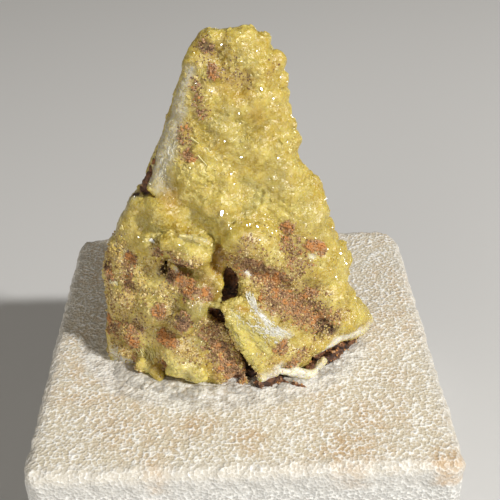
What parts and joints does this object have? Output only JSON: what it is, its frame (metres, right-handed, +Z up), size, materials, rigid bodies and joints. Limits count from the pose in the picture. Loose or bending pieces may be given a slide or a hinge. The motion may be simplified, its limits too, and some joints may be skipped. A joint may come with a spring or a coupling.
{
  "type": "limonite specimen",
  "caption": "Thumbnail mineral specimen: glassy yellow knobbly crust on a leaning slab of brown limonite, set upright in adhesive on a square foam block",
  "frame": {"origin": "middle of the foam block's underside, the face it rests on", "axes": "+Z up along the specimen's height; the crust's face and the block's front are towards -Y; +X is to the right as seen from the front"},
  "size_m": [0.03, 0.03, 0.0404],
  "materials": {
    "foam_block": "matte",
    "glue_bed": "satin",
    "limonite_matrix": "matte",
    "yellow_crust": "gloss"
  },
  "bodies": {
    "root": {"foam_block": "foam_block", "glue_bed": "glue_bed", "limonite_matrix": "limonite_matrix", "yellow_crust": "yellow_crust"}
  },
  "joints": []
}
